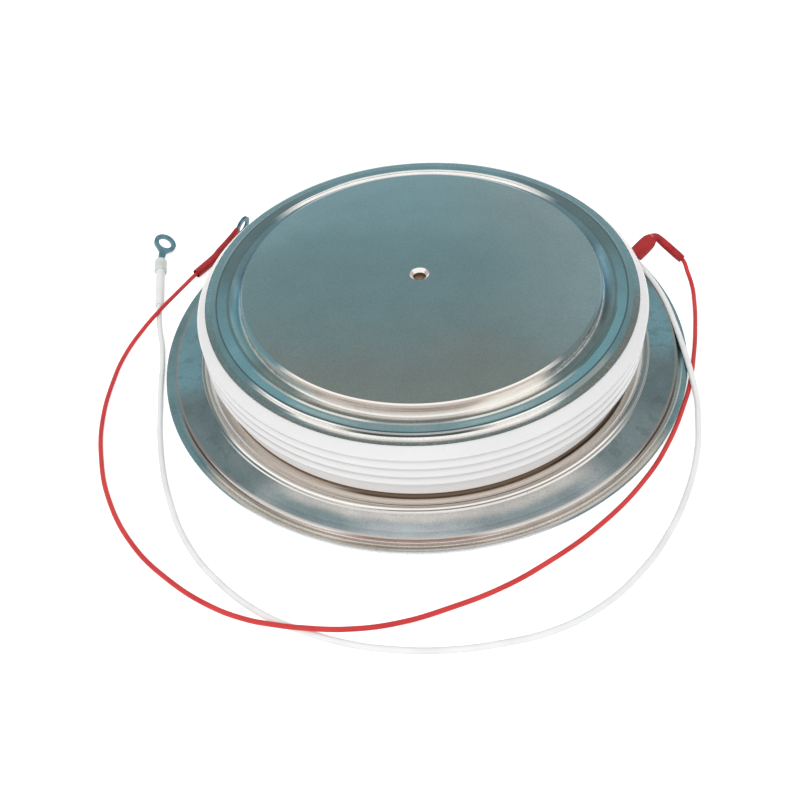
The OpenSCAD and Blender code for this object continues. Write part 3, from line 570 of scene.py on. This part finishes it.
gate_angle = math.radians(38)
gate_z = 9.8
gate_tube_d = 2.4
spot_face_d = 5.5
spot_face_r = foot_r - 0.3
for size, start, stop in ((gate_tube_d, bore_r - 2.5, ceramic_r),
                          (spot_face_d, spot_face_r, ceramic_r + 3)):
    middle = (start + stop) / 2 * MM
    bpy.ops.object.select_all(action="DESELECT")
    bpy.ops.mesh.primitive_cylinder_add(
        vertices=48, radius=size / 2 * MM, depth=(stop - start) * MM,
        location=(middle * math.cos(gate_angle), middle * math.sin(gate_angle), gate_z * MM),
        rotation=(0, math.pi / 2, gate_angle))
    drill = bpy.context.object
    cut = ceramic.modifiers.new("cut", "BOOLEAN")
    cut.object = drill
    cut.solver = "EXACT"
    bpy.context.view_layer.objects.active = ceramic
    bpy.ops.object.modifier_apply(modifier=cut.name)
    bpy.data.objects.remove(drill)
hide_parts("ceramic_ring")

glaze = Finish(
    "white_glaze", Coat_Weight=0.3, Coat_Roughness=0.15, Subsurface_Weight=0.3,
    Subsurface_Radius=(1, 1, 1), Subsurface_Scale=0.7 * MM)
groove_turn = (glaze.z - low_crest + 0.35) * (2 * math.pi / groove_pitch)
overhang = ((groove_turn.cosine() * 0.5 + 0.5) ** 2
            * glaze.z.within(low_crest - 0.5, high_crest, 0.1))
# Painted light: the right side lighter below the ribs, each rib lighter on its underside and the
# foot lighter, against the shade of the grooves and the flange; the bottom face is painted brown
# shade.
white = glaze.painted(
    tone(230, 230, 230),
    (glaze.grain(22, 4).over(0.35, 0.7), tone(227, 227, 228)),
    (glaze.toward(0, 30, 50) * glaze.z.under(14, 22), tone(246, 246, 247)),
    (overhang, tone(253, 253, 253)),
    (glaze.z.under(11.2, 12.6), tone(250, 250, 250)),
    (glaze.specks(11, 0.16) * 0.5, tone(165, 158, 150)),
    (glaze.z.under(ceramic_low, ceramic_low + 0.1), tone(120, 98, 82)))
glaze.set(Base_Color=white, Roughness=0.25 + glaze.waver(5, 0.1))
glaze.relief(glaze.grain(2.5, 2), 0.012)
glaze.dress(ceramic)


# Anode sheet
# Thin copper sheet pressed with a raised bead that lets the pole piece move, nickel plated,
# and brazed to the ceramic's top and to the pole piece's shoulder.
anode_seat_z = 22.9
sheet_t = 0.6
seat_mid = anode_seat_z - sheet_t / 2
bead_mid = seat_mid + 1.6
brazed_mid = seat_mid + 1
sheet = formed("anode_sheet_pressed", [
    (pole_r + 0.02, seat_mid), (shoulder_r, seat_mid), (bore_r + 0.4, bead_mid),
    (end_r - 3, bead_mid), (end_r - 1.9, brazed_mid), (end_r, brazed_mid)],
    sheet_t, edge=0.14)
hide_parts("anode_sheet")

sheet_finish = Finish("plated_anode_sheet", Metallic=1)
sheet_r = sheet_finish.radius + sheet_finish.waver(9, 0.2)
sheet_front = sheet_finish.toward(-98, 34, 46)
sheet_middle = sheet_finish.toward(-96, 11, 21)
sheet_back = sheet_finish.toward(88, 38, 54)
sheet_right = sheet_finish.toward(-35, 12, 30)
# The sheet's teal tint and its light and dark bands and lines, set by direction round the axis,
# are painted reflections.
bead_tone = sheet_finish.painted(
    tone(98, 134, 141),
    (sheet_finish.toward(-90, 62, 84), tone(106, 147, 156)),
    (sheet_finish.toward(-90, 26, 44), tone(118, 145, 149)),
    ((sheet_finish.toward(-120, 4, 12) + sheet_finish.toward(-74, 4, 12))
     * sheet_r.within(54.7, 55.4, 0.4), tone(142, 168, 168)),
    (sheet_finish.toward(28, 10, 35) + sheet_finish.toward(150, 12, 35), tone(88, 110, 113)),
    (sheet_finish.toward(-95, 18, 40) * sheet_finish.grain(6, 3).over(0.4, 0.6) * 0.5,
     tone(132, 152, 155)))
on_slope = sheet_r.under(52.3, 52.9)
slope_side = sheet_finish.toward(-90, 92, 102)
slope_front = sheet_finish.toward(-92, 28, 42)
upper_slope = sheet_r.over(50.9, 52.2)
slope_streaks = sheet_finish.grain(0.9, 4, (1, 1, 3)).over(0.5, 0.62)
slope_tone = sheet_finish.painted(
    tone(104, 132, 140),
    (slope_side, tone(152, 188, 199)),
    (slope_side * upper_slope, tone(112, 146, 154)),
    (sheet_right, tone(136, 154, 156)),
    (sheet_finish.toward(-152, 12, 26), tone(150, 186, 190)),
    (sheet_finish.toward(-137, 6, 16), tone(136, 156, 156)),
    (slope_front, tone(218, 215, 212)),
    (slope_front * upper_slope, tone(150, 150, 147)),
    (slope_front * upper_slope * slope_streaks * 0.5, tone(92, 92, 88)),
    (sheet_finish.toward(-68, 6, 16) * (1 - upper_slope * 0.6), tone(255, 252, 247)))
brazed_tone = sheet_finish.painted(
    tone(104, 139, 146),
    (sheet_right, tone(106, 112, 108)),
    (sheet_finish.toward(-150, 14, 30), tone(97, 118, 120)),
    (sheet_finish.toward(-91, 20, 34) * sheet_r.under(58.4, 58.9), tone(206, 201, 196)),
    (sheet_finish.toward(-94, 25, 38) * sheet_r.under(57.9, 58.3), tone(243, 239, 234)),
    (sheet_finish.toward(-93, 34, 48) * sheet_r.over(58.5, 59.0), tone(124, 124, 118)))
bead_start = sheet_r.within(52.7, 53.3, 0.2)
bead_end = sheet_r.within(56.5, 56.8, 0.1)
step_foot = sheet_r.within(57.4, 57.75, 0.1)
scratches = sheet_finish.grain(0.4, 3).over(0.55, 0.7) * sheet_r.over(57.6, 58.2) * 0.2
sheet_tone = sheet_finish.painted(
    bead_tone,
    (on_slope, slope_tone),
    (bead_start * 0.8, tone(88, 108, 110)),
    (bead_start * sheet_front, tone(118, 124, 118)),
    (sheet_r.within(53.45, 53.85, 0.15) * sheet_finish.toward(-96, 42, 52),
     tone(162, 170, 165)),
    (sheet_r.within(53.35, 53.85, 0.15)
     * (sheet_finish.toward(-119, 6, 15) + sheet_finish.toward(-70, 8, 18)),
     tone(224, 224, 219)),
    (sheet_r.within(52.9, 53.7, 0.2) * sheet_finish.toward(-34, 10, 18), tone(86, 110, 108)),
    (sheet_r.within(52.3, 53.6, 0.2) * sheet_back, tone(250, 247, 243)),
    (sheet_r.within(53.6, 54.1, 0.15) * sheet_finish.toward(80, 25, 40), tone(226, 228, 226)),
    (sheet_r.within(53.05, 53.2, 0.08) * sheet_back, tone(140, 132, 126)),
    (sheet_r.over(56.2, 56.4), tone(98, 130, 135)),
    (sheet_r.over(57.55, 57.75), brazed_tone),
    (sheet_r.within(56.0, 56.3, 0.1) * (1 - sheet_back), tone(74, 93, 97)),
    (bead_end * sheet_front, tone(255, 250, 245)),
    (bead_end * sheet_middle, tone(176, 177, 174)),
    (sheet_r.within(56.95, 57.3, 0.1) * sheet_front, tone(232, 228, 222)),
    (sheet_r.within(56.9, 57.3, 0.12) * sheet_middle, tone(74, 84, 82)),
    (step_foot * sheet_front, tone(243, 239, 234)),
    (step_foot * sheet_finish.toward(-136, 6, 12), tone(112, 120, 122)),
    (sheet_r.within(56.5, 57.5, 0.15) * sheet_finish.toward(-48, 4, 12) * 0.7,
     tone(155, 161, 156)),
    (sheet_r.over(59.05, 59.25) * (1 - sheet_back), tone(98, 108, 106)),
    (sheet_r.over(58.75, 59.0) * sheet_back, tone(205, 222, 224)),
    (scratches, tone(190, 196, 196)))
sheet_finish.set(
    Base_Color=sheet_finish.mottled(sheet_tone, fine=0.5, cloudy=0.3),
    Roughness=0.27 + on_slope * 0.2 + sheet_finish.waver(1.2, 0.12, 4))
sheet_finish.relief(sheet_finish.grain(0.35, 3) + sheet_finish.grain(4, 2) * 5, 0.005)
sheet_finish.dress(sheet)


# Braze fillet of the anode sheet
# Silver solder, melted into the corner between the sheet and the pole piece's wall. Its
# section below starts from that corner.
fillet = turned("anode_braze", [(pole_r + out, anode_seat_z + up) for out, up in (
    (0, -0.05), (0, 0.45), (0.1, 0.22), (0.26, 0.07), (0.5, 0.01), (0.5, -0.05), (0, -0.05))])

solder = Finish("silver_solder", Metallic=1)
solder_tone = solder.clouded(2, (0.52, 0.52, 0.51), (0.36, 0.36, 0.36), low=0.4)
# The solder's light front is a painted highlight.
solder_tone = solder.blend(solder.toward(-95, 34, 46), solder_tone, tone(255, 253, 248))
solder.set(Base_Color=solder_tone, Roughness=0.5 + solder.waver(0.8, 0.15))
solder.relief(solder.grain(0.9, 3), 0.03)
solder.dress(fillet)


# Wafer stack
# The silicon wafer with its silicone edge seal lies between two lapped molybdenum discs,
# and a plastic ring centres it in the ceramic. All of it is closed inside the housing.
def finished(name, light, dark, metal, rough, patch, sheen, bumps):
    """Gives a CAD piece a finish of its own, in a light tone with patches of a dark one.

    Patch is their size, sheen the size and spread of the changes in roughness, and bumps
    the size and height of the bumps.
    """
    finish = Finish(name + "_finish", Metallic=metal)
    finish.set(
        Base_Color=finish.clouded(patch, light, dark),
        Roughness=rough + finish.waver(*sheen))
    bump_size, bump_height = bumps
    finish.relief(finish.grain(bump_size), bump_height)
    finish.dress(node[name])


for name, colour, metal, rough, patch in (
        ("silicon_wafer", (0.22, 0.24, 0.28), 1, 0.15, 18),
        ("anode_molybdenum_disc", (0.42, 0.42, 0.44), 1, 0.35, 6),
        ("cathode_molybdenum_disc", (0.42, 0.42, 0.44), 1, 0.35, 6),
        ("wafer_edge_seal", (0.50, 0.13, 0.07), 0, 0.45, 5),
        ("locating_ring", (0.80, 0.79, 0.74), 0, 0.5, 8)):
    darker = [c * 0.8 for c in colour]
    finished(name, colour, darker, metal, rough, patch, sheen=(1, 0.1), bumps=(0.4, 0.004))


# Gate contact
# A silver-tipped plunger on a spring in an insulating cup. Its wire runs out through the
# pole piece's slot in a plastic sleeve. All of it is closed inside the housing.
for name, colour, metal, rough in (
        ("gate_cup", (0.82, 0.81, 0.77), 0, 0.45),
        ("gate_spring", (0.45, 0.43, 0.38), 1, 0.25),
        ("gate_contact", (0.80, 0.78, 0.74), 1, 0.18),
        ("gate_wire", (0.78, 0.77, 0.75), 1, 0.25),
        ("gate_insulation", (0.88, 0.87, 0.83), 0, 0.4)):
    darker = [c * 0.85 for c in colour]
    finished(name, colour, darker, metal, rough, patch=2, sheen=(0.6, 0.1), bumps=(0.2, 0.003))


# Gate tube and its eyelet
# A drawn nickel-iron tube carries the gate out through the ceramic. It is soldered into an
# eyelet, which seals it to the wall's spot face.
for name in ("gate_tube", "gate_eyelet"):
    finished(name, (0.36, 0.35, 0.33), (0.24, 0.23, 0.21), metal=1, rough=0.3, patch=1.2,
             sheen=(0.5, 0.2), bumps=(0.25, 0.006))


# Gate lead
# Stranded wire in white silicone, 382 mm long with the parts inside its sleeves. It leaves
# the gate tube, drops over the flange and lies round the front to the left.
def laid(name, route, diameter):
    """A lead along its route. The bevel is 1, so that a point's radius is the lead's own."""
    line = bpy.data.curves.new(name, "CURVE")
    line.dimensions = "3D"
    line.bevel_depth = 1
    line.bevel_resolution = 6
    line.resolution_u = 10
    line.use_fill_caps = True
    spline = line.splines.new("BEZIER")
    spline.bezier_points.add(len(route) - 1)
    for point, place in zip(spline.bezier_points, route):
        point.co = Vector(place) * MM
        point.radius = diameter / 2 * MM
        point.handle_left_type = point.handle_right_type = "AUTO"
    piece = bpy.data.objects.new(name, line)
    bpy.context.collection.objects.link(piece)
    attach(piece, "root")
    return piece


gate_lead_d = 1.6
gate_lead = laid("white_gate_lead", [
    (52.8, 41.25, 9.8), (55.15, 43.1, 9.8), (57.5, 43.65, 9.6), (60.2, 42.2, 9),
    (62.5, 39, 7.9), (64.7, 35.1, 6.2), (66.7, 30.4, 4.6), (68.6, 25, 3.7),
    (70.8, 17.6, 3.55), (72.4, 7.5, 3.55), (72.65, -4, 3.55), (72.4, -12.8, 3.55),
    (72.1, -19.4, 3.5), (72, -24.3, 2.75), (71.9, -28.5, 1.6), (71.55, -32.4, 1),
    (70.25, -38, 0.85), (66.8, -49.5, 0.85), (59.4, -64.6, 0.85), (52.3, -74.8, 0.85),
    (44.85, -83, 0.85), (33.6, -91.7, 0.85), (21, -97.1, 0.85), (9, -99.05, 0.85),
    (-2, -99.5, 0.85), (-13, -98.5, 0.85), (-24, -96, 0.85), (-35.1, -91.5, 0.85),
    (-45.1, -85.7, 0.85), (-55, -76.6, 0.85), (-63, -65.7, 0.85), (-69.3, -51, 0.85),
    (-73.6, -33.5, 0.85), (-75.9, -14.5, 0.85), (-77.7, 6.5, 0.85), (-79.9, 18, 1.1),
    (-80.7, 26.2, 1.6), (-82.41, 45.7, 2.22)], gate_lead_d)
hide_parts("gate_lead")

silicone = Finish("white_silicone", Specular_IOR_Level=0.4)
silicone_tone = silicone.painted(
    silicone.clouded(7, tone(237, 239, 238), tone(230, 232, 230), low=0.4, high=0.7),
    (silicone.specks(3.5, 0.12) * 0.35, (0.3, 0.29, 0.27)))
silicone.set(Base_Color=silicone_tone, Roughness=0.36 + silicone.waver(2, 0.12))
silicone.relief(silicone.grain(0.5, 3), 0.01)
for piece in (gate_lead, node["gate_lead_root_sleeve"], node["gate_lead_end_sleeve"]):
    silicone.dress(piece)


# Gate crimp cover
# A short cap of milky soft plastic, pushed over the crimp of the gate's ring terminal after
# the wire is crimped in it.
milky = Finish(
    "milky_plastic", Subsurface_Weight=0.3, Subsurface_Radius=(1, 1, 1),
    Subsurface_Scale=0.6 * MM)
milky.set(
    Base_Color=milky.clouded(2, tone(216, 222, 216), tone(204, 210, 203), high=0.7, detail=3),
    Roughness=0.3 + milky.waver(0.7, 0.12))
milky.relief(milky.grain(0.6, 2), 0.015)
milky.dress(node["gate_crimp_cover"])


# Auxiliary cathode lead
# Thin stranded wire in red plastic, 362 mm long with the parts inside its sleeves. It hangs
# from the tab, lies round the front inside the white lead, and climbs over it at the left.
cathode_lead_d = 1.25
cathode_lead = laid("red_cathode_lead", [
    (75.83, 26.06, 9.85), (78.95, 23.5, 7.64), (81.7, 21.25, 5.7), (82.6, 18.2, 3.5),
    (83, 13.7, 1.8), (82.1, 7.5, 0.95), (79.1, -4.3, 0.65), (76.1, -13.7, 0.65),
    (71.35, -26.2, 0.65), (68.5, -32, 0.65), (60.55, -45.6, 0.65), (52.05, -56.5, 0.65),
    (38.2, -69.2, 0.65), (22.1, -79.6, 0.65), (11, -85, 0.65), (-1, -88.9, 0.65),
    (-12.5, -91.6, 0.75), (-24, -92.7, 1.7), (-35, -91.8, 2.6), (-41.2, -90.4, 2.6),
    (-47.5, -88.1, 1.9), (-57, -82.7, 0.8), (-67.5, -74.4, 0.65), (-77, -63.9, 0.65),
    (-85.4, -48.6, 0.65), (-89.8, -33.5, 0.65), (-91.5, -20, 0.65), (-90.8, -5, 0.65),
    (-88.7, 5.8, 0.9), (-84.2, 16.1, 1.7), (-79.35, 23, 3.1), (-76.3, 28.2, 3.1),
    (-73.6, 34.2, 2.3), (-70.6, 40.2, 1.7), (-66.4, 45.2, 2)], cathode_lead_d)
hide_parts("cathode_lead")

red_plastic = Finish("red_wire_plastic", Specular_IOR_Level=0.25)
red_plastic.set(
    Base_Color=red_plastic.clouded(9, tone(211, 65, 63), tone(196, 56, 56), high=0.7),
    Roughness=0.33 + red_plastic.waver(2, 0.12))
red_plastic.relief(red_plastic.grain(0.5, 3), 0.01)
red_plastic.dress(cathode_lead)


# Shrink sleeves of the auxiliary cathode lead
# Red heat-shrink tube. One grips the tab and the bare strand soldered along it, and creases
# where it turns down, with a painted highlight along the crease; the other grips the barrel and
# the tongue of the ring terminal.
def softened(name, source, levels):
    """A sleeve as it shrank: the drawn tube, welded into one skin and smoothed."""
    bpy.ops.object.select_all(action="DESELECT")
    piece = node[source].copy()
    piece.data = node[source].data.copy()
    piece.name = name
    for key in list(piece.keys()):
        del piece[key]
    bpy.context.collection.objects.link(piece)
    piece.select_set(True)
    bpy.context.view_layer.objects.active = piece
    bpy.ops.object.mode_set(mode="EDIT")
    bpy.ops.mesh.select_all(action="SELECT")
    bpy.ops.mesh.remove_doubles(threshold=0.002 * MM)
    bpy.ops.mesh.tris_convert_to_quads(
        face_threshold=math.radians(70), shape_threshold=math.radians(70))
    bpy.ops.object.mode_set(mode="OBJECT")
    bpy.ops.object.modifier_add(type="SUBSURF")
    smoothing = piece.modifiers[-1]
    smoothing.levels = smoothing.render_levels = levels
    bpy.ops.object.modifier_apply(modifier=smoothing.name)
    bpy.ops.object.shade_smooth()
    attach(piece, "root")
    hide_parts(source)
    return piece


shrink = Finish("red_heat_shrink", Specular_IOR_Level=0.3)
tab_angle = math.radians(20)
tab_rise = math.radians(40)
outward = shrink.x * math.cos(tab_angle) + shrink.y * math.sin(tab_angle)
along_tab = outward * math.cos(tab_rise) + shrink.z * math.sin(tab_rise)
across_tab = shrink.y * math.cos(tab_angle) - shrink.x * math.sin(tab_angle)
# A painted highlight along the crease where the sleeve turns down.
crease_highlight = along_tab.within(66.85, 67.1, 0.22) * across_tab.over(-1, 0.5)
shrink_tone = shrink.painted(
    shrink.clouded(3, tone(176, 44, 46), tone(152, 34, 38), high=0.7),
    (crease_highlight * 0.8, tone(226, 122, 118)))
shrink.set(Base_Color=shrink_tone, Roughness=0.4 + shrink.waver(1, 0.15))
shrink.relief(shrink.grain(1.1, 4), 0.05)
for name, source in (("cathode_root_shrink", "cathode_lead_root_sleeve"),
                     ("cathode_end_shrink", "cathode_lead_end_sleeve")):
    sleeve = softened(name, source, levels=2)
    shrink.dress(sleeve)


# Tab and strand of the auxiliary cathode lead
# A strip of tinned copper, welded to the cone of the weld sheet and bent up. The lead's
# bare strands are soldered along it, under the shrink sleeve.
# Their grey-blue tint is a painted reflection.
for name in ("cathode_tab", "cathode_strand"):
    finished(name, (0.36, 0.41, 0.42), (0.22, 0.27, 0.28), metal=1, rough=0.3, patch=1.5,
             sheen=(0.7, 0.2), bumps=(0.4, 0.01))


# Ring terminals
# Stamped from sheet copper and tinned: a ring, a tongue and a rolled barrel that is crimped
# on the lead.
# Both are the same tinned copper: their teal tint is a painted reflection, and the cathode's
# terminal is painted darker, as shade.
for name, light, dark in (
        ("gate_ring_terminal", tone(100, 136, 147), tone(84, 118, 128)),
        ("cathode_ring_terminal", tone(74, 112, 124), tone(48, 80, 92))):
    finished(name, light, dark, metal=1, rough=0.28, patch=1.6, sheen=(0.7, 0.2),
             bumps=(0.35, 0.008))


# Floor and light
# A white table, a soft lamp above the front, and white walls all round. The camera and the
# metal see the walls and the table as plain white.
def plain_white(finish, other):
    """White where the camera looks straight, by a reflection or through glass."""
    seen = [finish.node("ShaderNodeLightPath", {}, {}, "Is " + way + " Ray")
            for way in ("Camera", "Glossy", "Transmission")]
    return finish.blend((seen[0] + seen[1] + seen[2]).over(0, 1), other, (1, 1, 1))


table_side = 12
table_drop = 0.2 * MM
bpy.ops.object.select_all(action="DESELECT")
bpy.ops.mesh.primitive_plane_add(size=table_side, location=(0, 0, -table_drop))
floor = bpy.context.object
floor.name = "floor"
table_top = Finish(
    "white_table", Base_Color=(0.88, 0.88, 0.88, 1), Roughness=0.6, Emission_Strength=0.6,
    Specular_IOR_Level=0.2)
table_top.set(Emission_Color=plain_white(table_top, (0, 0, 0)))
table_top.dress(floor)

lamp_place = (-0.12, -0.62, 0.98)
bpy.ops.object.light_add(type="AREA", location=lamp_place)
lamp = bpy.context.object
lamp.name = "softbox"
lamp.data.size = 0.6
lamp.data.energy = 6.3
lamp.visible_glossy = False
lamp.rotation_euler = Vector(lamp_place).to_track_quat("Z", "Y").to_euler()

bpy.context.scene.world = bpy.data.worlds.new("white_walls")
walls = Finish("white_walls", owner=bpy.context.scene.world)
walls.set(Color=plain_white(walls, (0.62, 0.62, 0.62)))
bpy.context.scene.view_settings.view_transform = "Standard"

bpy.context.view_layer.update()
